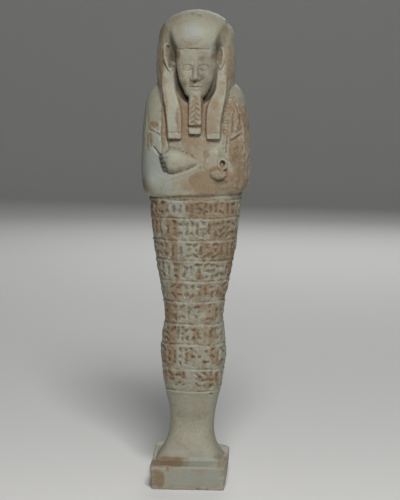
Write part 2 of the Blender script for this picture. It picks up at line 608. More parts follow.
def baseRows(foot):  # the base from under its middle, up its sides and in over its top to the figure
    middleX, middleY = baseShape["middle"]
    height, bottomEdge, topEdge = baseShape["height"], baseShape["bottomEdge"], baseShape["topEdge"]
    away = np.hypot(foot[0] - middleX, foot[1] - middleY)
    turnX, turnY = (foot[0] - middleX) / away, (foot[1] - middleY) / away
    rows, lifts = [], []

    def addRow(reach, z, level, upward):
        x, y = middleX + reach * turnX, middleY + reach * turnY
        rows.append([x, y, z + riseAt(x, y) * z / height])
        lifts.append([turnX * level, turnY * level, np.full_like(reach, upward)])

    def taperAt(z):
        return baseShape["taper"] * (1.0 - z / height)

    rim = baseRadius(turnX, turnY, taperAt(0.0) + bottomEdge)
    for share in np.linspace(0.1, 1.0, int(10 / coarse)):
        addRow(rim * share, 0.0, 0.0, 0.0)
    for bend in np.linspace(0.0, math.pi / 2, 6)[1:]:
        z = bottomEdge * (1.0 - math.cos(bend))
        addRow(baseRadius(turnX, turnY, taperAt(z) + bottomEdge * (1.0 - math.sin(bend))), z, 1.0, 0.0)
    for z in np.linspace(bottomEdge, height - topEdge, int(36 / coarse))[1:]:
        addRow(baseRadius(turnX, turnY, taperAt(z)), z, 1.0, 0.0)
    for bend in np.linspace(0.0, math.pi / 2, 8)[1:]:
        z = height - topEdge * (1.0 - math.sin(bend))
        rim = baseRadius(turnX, turnY, taperAt(z) + topEdge * (1.0 - math.cos(bend)))
        addRow(rim, z, math.cos(bend), math.sin(bend))
    for share in np.linspace(0.0, 1.0, int(44 / coarse))[1:-1]:
        addRow(rim + (away - rim) * share, height, 0.0, 1.0)
    return np.moveaxis(np.array(rows), 1, 0), np.moveaxis(np.array(lifts), 1, 0)


place, lift, crown = figureRows()
basePlace, baseLift = baseRows(place[:, 0])
firstRow = basePlace.shape[1]  # the figure's first row above the base
place = np.concatenate([basePlace, place], 1).astype(np.float32)
lift = np.concatenate([baseLift, lift], 1).astype(np.float32)
poles = np.array([(*baseShape["middle"], 0.0), crown], np.float32)
print("skin worked out:", place.shape[1], "rows of", place.shape[2])


def fillMesh(mesh, points, poles):  # quads between neighbouring rows and a fan of triangles at each pole
    rowCount, count = points.shape[1:]
    cloud = np.concatenate([points.reshape(3, -1).T, poles]) * mm
    i = np.arange(rowCount - 1)[:, None] * count
    j = np.arange(count)[None, :]
    k = (j + 1) % count
    quads = np.stack([i + j, i + k, i + count + k, i + count + j], -1).reshape(-1, 4)
    bottom = np.stack([k[0], j[0], np.full(count, rowCount * count)], -1)
    last = (rowCount - 1) * count
    top = np.stack([last + j[0], last + k[0], np.full(count, rowCount * count + 1)], -1)
    corners = np.concatenate([quads.reshape(-1), bottom.reshape(-1), top.reshape(-1)]).astype(np.int32)
    sizes = np.concatenate([np.full(len(quads), 4), np.full(2 * count, 3)])
    mesh.vertices.add(len(cloud))
    mesh.vertices.foreach_set("co", cloud.astype(np.float32).ravel())
    mesh.loops.add(len(corners))
    mesh.loops.foreach_set("vertex_index", corners)
    mesh.polygons.add(len(sizes))
    mesh.polygons.foreach_set("loop_start", np.concatenate([[0], np.cumsum(sizes)[:-1]]).astype(np.int32))
    mesh.update(calc_edges=True)


# Cut and raised work on the skin

xs, ys, zs = place  # across, front to back and up, for every point of the skin
inFront = smooth(0.5, -3.0, ys)
girth = np.zeros_like(xs)  # distance round the figure from its front, for the rows of strokes
steps = np.hypot(np.diff(xs, axis=1), np.diff(ys, axis=1))
girth[:, 1:] = np.cumsum(steps, axis=1)
girth -= girth[:, xs.shape[1] // 2][:, None]
relief = np.zeros_like(xs)  # outward, in millimetres
dirt = np.zeros_like(xs)  # 0 clean to 1 full of brown deposit


def pathDistance(u, v, path):  # distance from points to a line through the path's points
    nearest = None
    for (ax, ay), (bx, by) in zip(path[:-1], path[1:]):
        dx, dy = bx - ax, by - ay
        t = np.clip(((u - ax) * dx + (v - ay) * dy) / (dx * dx + dy * dy + 1e-9), 0.0, 1.0)
        d = np.hypot(u - ax - t * dx, v - ay - t * dy)
        nearest = d if nearest is None else np.minimum(nearest, d)
    return nearest


def window(u, path, reach, usable):  # the rows and columns of the skin that a path can touch
    heights = [p[1] for p in path]
    middle = zs[:, zs.shape[1] // 2]
    rows = np.nonzero((middle > min(heights) - reach) & (middle < max(heights) + reach))[0]
    rows = rows[rows >= firstRow]
    if len(rows) < 2:
        return None
    sides = [p[0] for p in path]
    near = (u[rows] > min(sides) - reach) & (u[rows] < max(sides) + reach) & usable[rows]
    columns = np.nonzero(near.any(axis=0))[0]
    if len(columns) < 2:
        return None
    return slice(rows[0], rows[-1] + 1), slice(columns[0], columns[-1] + 1)


everywhere, frontOnly = np.ones(xs.shape, bool), ys < 1.0
warpAcross = 0.4 * noise(xs, ys, zs, 1.5, 11, 2)  # keeps strokes from looking ruled
warpUp = 0.4 * noise(xs, ys, zs, 1.5, 17, 2)
uneven = 1.6 * noise(xs, ys, zs, 1.1, 37, 2)


def addDirt(values, spot=slice(None)):
    dirt[spot] = np.maximum(dirt[spot], values)


def cut(u, path, width, depth, edge, stain, wobble):  # a groove along a path, a ridge if depth is below 0
    usable = frontOnly if u is xs else everywhere
    spot = window(u, path, width * 1.5 + 1.2, usable)
    if spot is None:
        return
    d = pathDistance(u[spot] + wobble * warpAcross[spot], zs[spot] + wobble * warpUp[spot], path)
    d = d - 0.22 * wobble * width * uneven[spot]
    share = smooth(width / 2.0 + edge, max(width / 2.0 - edge, 0.0), d) * usable[spot]
    relief[spot] += (-depth * (1.0 + 0.5 * wobble * uneven[spot]) - relief[spot]) * share
    addDirt(stain * share, spot)


writing = {
    "top": 115.5, "lines": (108.3, 99.3, 91.1, 82.7, 74.5, 65.2, 57.0, 46.8, 37.6),
    "lineWidth": 0.4, "lineDepth": 0.32, "ledge": 0.16, "pillow": 0.2,
    "depth": 0.6, "depths": (0.65, 1.1), "spotWidth": (1.3, 3.3), "sideGap": 0.4, "rowGap": 0.7,
    "fillAcross": (0.6, 0.9), "fillUp": (0.4, 0.75),  # how much of its place a stroke fills
    "barWidth": (0.6, 1.0), "flatHeight": (0.5, 0.8), "blobWidth": (0.8, 1.7), "blobHeight": (0.7, 1.5),
    "slantWidth": 0.8, "slantRise": 0.7,
    "seed": 41, "upperRows": 4, "blank": (0.0, 0.1),  # blank: share left out in upper and lower rows
}


def strokePath(kind, width, height):  # the line of a plain stroke about its middle, and the stroke's width
    if kind == "bar" or (kind == "blob" and height > width):
        half = max(height - width, 0.1) / 2.0
        return [(0.0, -half), (0.0, half)], width
    if kind in ("flat", "blob"):
        half = max(width - height, 0.1) / 2.0
        return [(-half, 0.0), (half, 0.0)], height
    w, h = width / 2.0, height / 2.0
    rise = 1.0 if kind == "slant" else -1.0
    return [(-w, -h * rise), (w, h * rise)], writing["slantWidth"]


def cutStroke(kind, across, up, width, height, depth):  # a shallow hollow with the stroke in its middle
    path, stroke = strokePath(kind, width, height)
    path = [(across + a, up + b) for a, b in path]
    cut(girth, path, stroke + 1.0, depth * 0.3, 0.55, 0.3, 0.7)
    cut(girth, path, stroke, depth, 0.35, 0.8, 0.7)


def cutWriting():  # plain strokes laid out at random, not letters
    rng = np.random.default_rng(writing["seed"])
    kinds = ("bar", "bar", "flat", "flat", "slant", "fall", "blob", "blob")
    tops = (writing["top"],) + writing["lines"][:-1]
    for row, (top, bottom) in enumerate(zip(tops, writing["lines"])):
        band = int(np.argmin(np.abs(zs[firstRow:, 0] - (top + bottom) / 2.0))) + firstRow
        reach = np.abs(girth[band][ys[band] < bodyShape["pillarBack"] - 4.0]).max() - 1.0
        blank = writing["blank"][0] if row < writing["upperRows"] else writing["blank"][1]
        spot = -reach
        while spot < reach:
            width = rng.uniform(*writing["spotWidth"])
            stack = rng.integers(1, 4)
            tall = (top - bottom - 2.0 * writing["rowGap"]) / stack
            for level in range(stack):
                kind = "bar" if stack == 1 else kinds[rng.integers(len(kinds))]
                across, up = spot + width / 2.0, bottom + writing["rowGap"] + tall * (level + 0.5)
                wide = width * rng.uniform(*writing["fillAcross"])
                high = tall * rng.uniform(*writing["fillUp"])
                if kind == "bar":
                    wide = rng.uniform(*writing["barWidth"])
                if kind == "flat":
                    high = rng.uniform(*writing["flatHeight"])
                if kind in ("slant", "fall"):
                    high = min(high, writing["slantRise"] * wide)
                if kind == "blob":
                    wide = rng.uniform(*writing["blobWidth"])
                    high = rng.uniform(*writing["blobHeight"])
                if rng.uniform() > blank:
                    depth = writing["depth"] * rng.uniform(*writing["depths"])
                    cutStroke(kind, across, up, wide, high, depth)
            spot += width + writing["sideGap"]


def cutRowLines():  # a worn line between two rows, with a faint ledge below it
    onBody = ys < bodyShape["pillarBack"] - 1.2
    for row, level in enumerate((writing["top"],) + writing["lines"]):
        rows = np.nonzero((np.abs(zs[:, 0] - level) < 2.0) & (np.arange(len(zs)) >= firstRow))[0]
        spot = slice(rows[0], rows[-1] + 1)
        flat = np.zeros_like(zs[spot])
        wander = 0.55 * noise(xs[spot], ys[spot], flat + row * 9.0, 7.0, 23, 2) + 0.6 * warpUp[spot]
        strength = 0.55 + 0.8 * noise(xs[spot], ys[spot], flat + row * 5.0, 4.0, 29, 2)
        strength = np.clip(strength, 0.0, 1.2)
        ledge = smooth(0.75, 0.1, np.abs(zs[spot] - level - wander + 0.85)) * onBody[spot]
        relief[spot] += writing["ledge"] * ledge
        away = np.abs(zs[spot] - level - wander)
        share = smooth(writing["lineWidth"] / 2.0 + 0.25, 0.05, away) * onBody[spot]
        relief[spot] += (-writing["lineDepth"] * strength - relief[spot]) * share
        addDirt(0.6 * strength * share, spot)


cutWriting()
cutRowLines()
print("rows of strokes cut")

# Lines and ridges on chest, arms and wig: path across and up, width, depth (below 0 raised), edge, stain
dressMarks = (
    (((-17, 145.6), (-14.5, 145.9), (-13.9, 142.9), (-17, 145.6)), 0.9, 0.35, 0.3, 0.7),
    (((-15.6, 145), (-14.4, 144.6)), 1.8, 0.45, 0.4, 0.9),
    (((-17.2, 142.8), (-12.9, 141)), 0.6, 0.5, 0.25, 0.7),
    (((-17, 143.9), (-13, 142.1)), 0.9, -0.35, 0.4, 0),
    (((-12.4, 146.5), (-12.3, 140), (-11.9, 134.1)), 0.45, 0.3, 0.22, 0.5),
    (((-17.9, 147.2), (-18.4, 141), (-18.3, 135.8)), 0.5, 0.35, 0.25, 0.5),
    (((-16.9, 141), (-16.6, 136.4)), 1, 0.25, 0.5, 0.6),
    (((-12.1, 158), (-11, 152), (-10.6, 147), (-10.1, 141), (-9.1, 135.9)), 1, 0.5, 0.2, 0.75),
    (((-15.1, 135.8), (-13.8, 134.2), (-12.6, 133.1)), 1, 0.8, 0.3, 1.7),
    (((16.4, 150.8), (15.9, 146.5), (15.7, 142.2)), 0.8, 0.65, 0.25, 0.9),
    (((16.9, 153.7), (18.6, 148.6), (19.1, 143.8)), 0.7, 0.6, 0.25, 0.75),
    (((17.3, 150), (17.3, 146), (17, 143.2)), 1.2, -0.55, 0.4, 0),
    (((17.5, 153.2), (19.1, 148), (20, 139.5), (20.7, 133.8)), 0.7, -0.6, 0.3, 0),
    (((15.5, 140.2), (19.4, 142.7)), 1, -0.75, 0.35, 0),
    (((15.1, 138.7), (18.9, 140.9)), 0.6, 0.6, 0.25, 0.9),
    (((13, 141.7), (12.8, 133.9)), 0.7, -0.6, 0.3, 0),
    (((14.5, 139.8), (14.1, 133.6)), 0.7, -0.6, 0.3, 0),
    (((13.7, 141), (13.4, 134)), 0.5, 0.25, 0.22, 0.7),
    (((15.6, 137.6), (15.3, 131), (16.6, 129.6)), 0.7, 0.4, 0.3, 0.8),
    (((17.3, 137.6), (17.3, 131)), 3, 0.3, 0.7, 0.75),
    (((-12.6, 163), (-12, 157.5)), 0.5, 0.3, 0.25, 0.5),
    (((13.9, 163), (13.5, 157.5), (12.5, 151), (11.6, 145), (11.4, 140)), 0.5, 0.35, 0.25, 0.7),
    (((-6.6, 174.5), (-3, 175), (1.2, 175.1), (5, 174.9), (9.1, 174.3)), 0.4, 0.3, 0.2, 0.7),
    (((-9.7, 126.6), (-7.8, 125.7), (-4.4, 126.6), (-1, 128), (1.6, 129.6)), 0.6, 0.4, 0.25, 1.6),
    (((-9.4, 142.3), (-4.6, 142.3)), 0.45, 0.35, 0.22, 0.7),
    (((6, 142.2), (11.2, 142)), 0.45, 0.35, 0.22, 0.7),
    (
        ((-11.8, 118.6), (-9.4, 123.4), (-7.4, 124.6), (-3, 126), (0.5, 127.6), (3.6, 129.4)),
        0.7, -0.35, 0.3, 0,
    ),
    (((5, 135.4), (5.1, 127.6)), 0.6, 0.3, 0.3, 0.7),
    (((-8.4, 136.2), (-4.2, 135.2), (-0.4, 133.6), (1.8, 131.8)), 0.6, 0.25, 0.3, 0.5),
)
# Lids and brow of each eye as bows over its middle: rise, height, width, depth
eyeLines = ((0.9, 0.75, 0.4, 0.3), (0.55, -0.1, 0.34, 0.3), (-0.6, 0.0, 0.34, 0.26))
eyeHalf = 1.95  # half the width of each bow
mouthLine = ((-1.3, 160.0), (0.6, 160.2), (1.3, 160.05), (2.0, 160.2), (3.9, 160.0))  # across and up
# Shares of each dress mark that wear has left, and how much its line wavers
dressWear = {"width": 0.85, "depth": 0.75, "stain": 0.55, "wobble": 0.6}


def cutFace():  # bows rise (1 - t^2) high, t from -1 to 1 across the eye, and the line of the mouth
    eyeAcross, _, eyeUp = faceShape["eye"][1]
    steps = np.linspace(-1.0, 1.0, 7)
    for side in (-1.0, 1.0):
        for rise, above, width, depth in eyeLines:
            bow = [(side * (eyeAcross + eyeHalf * t), rise * (1.0 - t * t)) for t in steps]
            bow = [(headShape["faceMiddle"] + a, eyeUp + above + b) for a, b in bow]
            cut(xs, bow, width, depth, 0.16, 0.25, 0.0)
    cut(xs, mouthLine, 0.34, 0.35, 0.18, 0.5, 0.0)


def cutDress():  # each mark as a groove or a ridge, less wide and less deep where wear has softened it
    worn = dressWear
    for path, width, depth, edge, stain in dressMarks:
        width, depth, stain = width * worn["width"], depth * worn["depth"], stain * worn["stain"]
        cut(xs, path, width, depth, edge, stain, worn["wobble"])


plait = {"middle": 145.0, "pitch": 2.0, "tie": 144.6, "tieDepth": 1.1}
cord = {"path": ((15.2, 156.7), (13.9, 151.8), (13.0, 146.3), (13.1, 142.0)), "pitch": 1.25, "height": 0.32}


def cutBeard():  # overlapping lobes of a plait, left and right by turns, and a gap above its tied end
    dx = xs - headShape["beardMiddle"] + 0.6 * warpAcross
    up = zs + 0.8 * warpUp
    pitch = plait["pitch"]
    onBeard = smooth(2.9, 2.3, np.abs(dx)) * smooth(-13.2, -14.4, ys)
    onPlait = onBeard * smooth(144.9, 145.4, zs) * smooth(156.5, 155.2, zs)
    side = smooth(-0.35, 0.35, dx + 0.3 * np.sin((up - plait["middle"]) * 2.0 * math.pi / pitch))
    left = np.cos(2.0 * math.pi * (up - 0.6 * dx) / pitch)
    right = np.cos(2.0 * math.pi * (up + 0.6 * dx - pitch / 2.0) / pitch)
    lobes = (1.0 - side) * left + side * right
    valley = 4.0 * side * (1.0 - side)
    relief[:] += onPlait * (0.17 * lobes - 0.1 * valley - 0.05 + 0.12 * uneven)
    addDirt(onPlait * np.clip(0.35 - 0.3 * lobes + 0.25 * valley, 0.0, 0.6))
    gap = onBeard * smooth(0.75, 0.35, np.abs(zs - plait["tie"]))
    relief[:] -= plait["tieDepth"] * gap
    addDirt(gap)


def cutCord():  # a beaded cord down the arm on the figure's left
    spot = window(xs, cord["path"], 2.5, frontOnly)
    d = pathDistance(xs[spot] + warpAcross[spot], zs[spot], cord["path"])
    on = smooth(0.9, 0.5, d) * frontOnly[spot]
    beads = 0.5 + 0.5 * np.cos(2.0 * math.pi * zs[spot] / cord["pitch"])
    relief[spot] += on * (cord["height"] * beads - 0.05) * (1.0 + 0.6 * uneven[spot])
    addDirt(smooth(1.3, 0.9, d) * smooth(0.3, 0.7, d) * 0.5 * frontOnly[spot], spot)


cutFace()
cutDress()
cutBeard()
cutCord()
print("dress, plait and cord cut")

# Chips: place, radii and depth; pinholes: across, up and radius
chips = (
    ((13.3, -2.8, 185), (1.5, 2.8, 1.4), 0.75), ((13.1, 2.2, 185.5), (1.4, 3.2, 1), 0.75),
    ((13.6, -0.2, 184.6), (1.1, 2.2, 1.5), 0.5), ((-16.4, 0, 112.4), (1.6, 6, 1), 0.8),
    ((-8.8, -22, 9.4), (0.8, 1.6, 0.9), 0.6), ((4.2, -21.5, 0.2), (1.4, 2, 1), 0.6),
    ((7.3, -21.5, 0.2), (1, 2, 0.8), 0.5), ((14.6, -21, 3), (1, 1.6, 1.4), 0.5),
    ((12.2, -11.5, 11.2), (0.9, 1.4, 0.9), 0.6), ((18.8, -4, 118), (2, 5, 1.4), 0.7),
    ((-0.6, 14.6, 120), (2, 2, 3), 0.5),
)
pinholes = (
    (8, 36.2, 0.55), (4.2, 34.2, 0.3), (7.6, 28.2, 0.3), (7, 56.6, 0.45), (8.7, 56.6, 0.35),
    (-3.2, 177.6, 0.35), (-2, 183, 0.25), (9, 178.4, 0.25), (-12, 152.4, 0.35), (-16.6, 138.6, 0.3),
    (18.4, 126.2, 0.35), (6.2, 147.4, 0.25), (-6.2, 146, 0.25), (12, 122, 0.3), (-13, 126, 0.25),
    (3, 22, 0.25), (-4.6, 31, 0.25), (-1, 40.8, 0.25), (10, 96, 0.3), (-8.8, 88.8, 0.3),
    (2, 105, 0.25),
)
surface = {"rough": 0.07, "roughRows": 0.2, "roughArm": 0.26, "lumps": 0.16, "baseLumps": 0.1}


def wearDown():  # a chip takes off depth (1 - k), k = |p / r|^2; a pinhole is a round eased hollow
    ragged = 0.55 * noise(xs, ys, zs, 1.5, 91, 2)
    for spot, size, depth in chips:
        k = sum(((c - o) / r) ** 2 for c, o, r in zip(place, spot, size))
        k = k + 0.5 * warpAcross + ragged
        relief[:] -= depth * np.clip(1.0 - k, 0.0, 1.0)
        addDirt(0.7 * smooth(0.0, 0.5, 1.0 - k))
    for across, up, size in pinholes:
        spot = window(xs, ((across, up), (across + 0.01, up)), 1.5, frontOnly)
        if spot is None:
            continue
        dx, dz = xs[spot] - across + 0.5 * warpAcross[spot], zs[spot] - up + 0.5 * warpUp[spot]
        hole = smooth(1.1, 0.2, np.hypot(dx, dz) / size) * frontOnly[spot]
        relief[spot] -= 0.9 * size * hole
        addDirt(0.8 * hole, spot)


def roughen():  # rough cast skin, roughest in the rows and on the arm, and a soft swell in each row
    onBody = smooth(9.0, 14.0, zs)
    rows = between(37.0, 39.5, 114.5, 116.5, zs)
    arm = smooth(9.0, 13.0, xs) * smooth(116.0, 119.0, zs) * smooth(160.0, 152.0, zs)
    rough = surface["rough"] + surface["roughRows"] * rows + surface["roughArm"] * arm
    lumps = surface["lumps"] * onBody * noise(xs, ys, zs, 7.0, 5, 2)
    relief[:] += rough * noise(xs, ys, zs, 1.7, 3, 3) * 1.6 + lumps
    relief[:] += (1.0 - onBody) * surface["baseLumps"] * noise(xs, ys, zs, 5.0, 7, 3)
    levels = np.array((writing["top"],) + writing["lines"])
    share = np.interp(zs, levels[::-1], np.arange(len(levels), dtype=float)) % 1.0
    relief[:] += writing["pillow"] * rows * (1.0 - (2.0 * share - 1.0) ** 2)


wearDown()
roughen()
place = place + lift * relief
print("surface worn")

mesh = bpy.data.meshes.new("ushabti")
fillMesh(mesh, place, poles)
mesh.shade_smooth()
ushabti = addObject("ushabtiFigure", mesh)

# Where the glaze has gone brown or stayed blue: across and up, half width, half height, strength
brownPatches = (
    (-7.6, 104, 2.3, 5.2, 1.1), (-6.4, 95, 1.2, 5, 0.9), (-5.6, 87, 1.2, 4.6, 0.95),
    (-6.4, 79, 2.4, 4, 0.6), (-8, 69, 2.6, 5, 0.9), (-8, 60, 2.4, 4.5, 0.85),
    (-8.6, 52, 2.6, 4.5, 0.9), (-8.6, 44, 2.4, 3, 0.7), (-10.2, 98, 2.6, 6, 0.45),
    (-14.5, 108, 2.4, 7, 0.75), (-11.2, 112, 1.2, 3, 0.8), (3, 112, 5.5, 3.4, 0.75),
    (11.5, 111.5, 6, 4, 0.8), (13, 102.5, 4.5, 4.5, 0.7), (8.6, 104, 2.4, 4.4, 0.7),
    (5.2, 95, 1.4, 4, 0.7), (11.5, 95, 5, 3.6, 0.65), (15.5, 90, 1.6, 10, 0.7),
    (3.2, 85.2, 1.4, 1.6, 0.8), (7.5, 88.5, 3, 1.4, 0.4), (6, 79.5, 3.4, 3, 0.55),
    (2, 76, 3.6, 1.4, 0.5), (12, 78, 2.6, 2.6, 0.5), (-1.5, 93.6, 1.2, 1.6, 0.4),
    (3.6, 72, 2.6, 1.6, 0.5), (1.2, 67, 3, 1.2, 0.35), (6.6, 67, 3, 1.2, 0.6), (9, 71, 3, 3, 0.4),
    (1.8, 61, 1, 3.4, 0.7), (8, 60.8, 1.8, 3.4, 0.75), (5.6, 62, 0.9, 4, 0.5),
    (-3, 62.6, 1.2, 1.6, 0.5), (-0.6, 52.4, 2, 2.2, 0.55), (5.4, 49.4, 1, 2, 0.6),
    (8.8, 53.2, 1.6, 3, 0.6), (10, 49.6, 2, 1.2, 0.6), (7, 42, 1.6, 3, 0.7), (3.4, 43, 1.8, 1.4, 0.6),
    (-3.8, 44.6, 1.8, 2.4, 0.5), (9.6, 42, 1.6, 3, 0.5), (7.4, 122.8, 7.4, 4.8, 1.15),
    (1.6, 121.4, 5, 3.4, 0.4), (16.5, 122, 5, 4.4, 0.7), (17.2, 134.4, 2.6, 5.4, 0.95),
    (15.5, 147, 4.5, 9, 0.6), (19.5, 138, 2.6, 16, 0.55), (-3.5, 150, 2.2, 9.5, 1.1),
    (4.9, 149.5, 1.7, 8.5, 1), (12.2, 130, 1, 1.3, 1.2), (0, 138.4, 9, 3, 0.5),
    (1.2, 150, 2.4, 6, 0.55), (1, 138.6, 6, 1.8, 0.6), (-10.9, 148, 1.2, 10.5, 1),
    (-15.4, 144.9, 1.6, 1.2, 0.9), (-16.8, 138.6, 1.3, 2.8, 0.6), (-17.8, 121.4, 2.2, 3, 0.5),
    (5.4, 133.4, 1.4, 2.2, 0.6), (4.8, 129.4, 1.6, 2.4, 0.5), (2, 134.4, 5, 3.6, 0.4),
    (11, 124.6, 3, 2, 0.7), (-4, 120.4, 8, 2.4, 0.08), (0, 116.8, 9, 0.9, 0.75),
    (8.6, 142.6, 3, 2, 0.4), (-12.2, 170, 1.5, 6.5, 0.6), (-12, 162, 2, 2.4, 0.5),
    (14, 169, 1.6, 7, 0.55), (11.4, 160, 2.6, 3, 0.4), (-11.4, 180.6, 1.5, 3, 0.4),
    (12.6, 180, 1.4, 3, 0.5), (-9, 171, 0.9, 3.6, 0.5), (10.6, 171, 0.7, 3, 0.7),
    (-5.6, 172.6, 0.9, 1.3, 1), (-3.9, 164.6, 1, 0.8, 0.8), (-2.6, 161.4, 0.9, 1.6, 0.7),
    (4, 164, 0.9, 0.7, 0.7), (3.9, 171.4, 1.4, 0.8, 0.5), (0.2, 161.8, 1.2, 0.7, 0.7),
    (2.4, 187.6, 0.7, 0.5, 0.8), (-0.2, 188.6, 0.7, 0.4, 0.5), (0.6, 178.4, 2.6, 1.6, 0.35),
    (-3, 178, 2, 1.4, 0.3), (6, 144, 2, 4, 0.3), (8.6, 150, 2.6, 8, 0.5), (-12.4, 4.8, 2.4, 3.4, 1.6),
    (13.9, 8.6, 0.8, 2, 0.6), (-8.8, 9, 0.6, 0.7, 1.1), (0, 9.4, 9, 0.7, 0.1),
    (-12.2, 181.4, 1.6, 4.4, 0.5), (12.2, 181.6, 1.3, 3.6, 0.35), (-7, 186, 2.4, 2, 0.2),
    (10.4, 125.6, 4, 3, 1.5), (-11.2, 130.4, 0.8, 3, 0.6), (-4, 1.2, 8, 1, 0.3), (3, 27, 3, 5, 0.06),
    (-5.4, 22, 2.4, 6, 0.1), (11, 11, 1.2, 0.8, 0.8),
)
bluePatches = (
    (-15, 128, 5.4, 9, 1), (-14.6, 152.4, 2.4, 3.6, 0.35), (-12, 121.8, 5, 3.2, 0.9),
    (-6.5, 124.6, 4, 1.2, 0.6), (-1.5, 126.4, 3.4, 0.9, 0.5), (-14.2, 139.6, 1.6, 3.6, 0.8),
    (-6.4, 137.4, 3, 2, 0.75), (-6, 112.4, 3.2, 2.8, 1), (-4.1, 103, 1.1, 6.4, 0.9),
    (-3.9, 95, 1, 4.6, 0.95), (0.6, 104, 3.4, 3, 0.45), (-3.6, 85.6, 1.4, 2.6, 0.6),
    (9.6, 87.8, 2.6, 1.2, 0.5), (-4.2, 62.4, 0.9, 3.6, 0.7), (10.2, 62, 2, 3.4, 0.4),
    (0.4, 181.6, 4, 4, 0.85), (-2, 172.6, 2.2, 1.2, 0.6), (2.4, 165, 1.2, 3, 0.4),
    (5.4, 167.4, 2.4, 1.6, 0.45), (-4.4, 163, 1.4, 2.4, 0.4), (0, 42, 2.6, 2.6, 0.5),
    (-4.6, 68, 1, 3, 0.5), (-7.2, 146, 1.6, 4, 0.35), (-2, 5, 8, 3.6, 0.6), (9, 5, 4, 3.4, 0.7),
    (8.2, 132.6, 1, 3.4, 0.3), (-4.4, 141, 0.8, 0.7, 0.8), (9.6, 136.8, 0.9, 1.2, 0.6),
    (-10.4, 36, 1.2, 6, 0.3),
)
shadePatches = (  # where old dirt darkens a hollow or a turned surface
    (-11.8, 181.6, 1.7, 3, 0.4), (12.2, 181.2, 1.5, 3, 0.4), (-12.2, 132.6, 1, 1.1, 0.9),
    (-11.6, 130.9, 1.1, 1.2, 0.95), (-11, 129.2, 1.1, 1.2, 0.95), (-10.2, 127.6, 1.3, 1.3, 0.95),
    (-8.4, 127.2, 2.2, 1.2, 0.5), (8, 36.2, 0.4, 0.4, 1), (-2, 166, 7, 7, 0.12),
    (4.6, 166, 4.2, 9, 0.42), (1.3, 172, 6.5, 2.4, 0.12), (11.5, 123, 2.6, 1.2, 0.5),
    (-7, 138.9, 2.6, 0.7, 0.4), (8.6, 138.6, 2.6, 0.7, 0.4), (1.2, 141.2, 2.2, 0.6, 0.5),
    (17.5, 128, 2, 9, 0.2),
)


def patchwork(patches, size, seed):  # soft ovals with ragged edges, the strongest at each point
    raggedAcross = 0.9 * noise(xs, ys, zs, size, seed, 3)
    raggedUp = 0.9 * noise(xs, ys, zs, size, seed + 7, 3)
    found = np.zeros_like(xs)
    for across, up, wide, tall, strength in patches:
        rows = np.nonzero(np.abs(zs[:, zs.shape[1] // 2] - up) < tall * 1.9 + 1.2)[0]
        if len(rows) == 0:
            continue
        spot = slice(rows[0], rows[-1] + 1)
        dx, dz = xs[spot] - across + raggedAcross[spot], zs[spot] - up + raggedUp[spot]
        k = (dx / wide) ** 2 + (dz / tall) ** 2
        found[spot] = np.maximum(found[spot], strength * smooth(1.7, 0.5, k))
    return found * inFront


def spreadOut(field, times):  # the average with neighbours, over and over
    for _ in range(times):
        field = (np.roll(field, 1, 1) + np.roll(field, -1, 1) + 2.0 * field) / 4.0
        field[1:-1] = (field[:-2] + field[2:] + 2.0 * field[1:-1]) / 4.0
    return field


def hollowness(times):  # how far each point lies below the average of the points round it, in millimetres
    return sum((spreadOut(c, times) - c) * l for c, l in zip(place, lift))


near, wide = hollowness(int(6 / coarse**2) + 1), hollowness(int(60 / coarse**2) + 1)
hollow = np.clip(near * 9.0, -1.0, 1.0) * 0.6 + np.clip(wide * 1.6, -1.0, 1.0) * 0.6
# The strip along the top of the base in front of the feet, worn from its middle to the figure's left
ledge = between(9.1, 9.5, 10.6, 11.4, zs) * smooth(-9.8, -11.0, ys)
wornLedge = smooth(-2.0, 1.0, xs)


def layBrownAndBlue():  # the placed patches, the worn ledge of the base and broad clouds behind
    brown, blue = patchwork(brownPatches, 2.2, 51), patchwork(bluePatches, 2.6, 71)
    ledgeEnds = np.maximum(smooth(-1.2, -4.4, xs + 1.5 * warpAcross), smooth(11.2, 12.2, xs + warpAcross))
    brown = np.maximum(brown, 1.1 * ledge * ledgeEnds)
    blue = np.maximum(blue, 1.2 * ledge * wornLedge * smooth(12.0, 10.0, xs))
    behind, broad = 1.0 - inFront, noise(xs, ys, zs, 14.0, 83, 3)
    brown = np.maximum(brown, behind * smooth(0.05, 0.5, broad) * 0.75)
    return brown, np.maximum(blue, behind * smooth(0.1, 0.55, -broad) * 0.6)


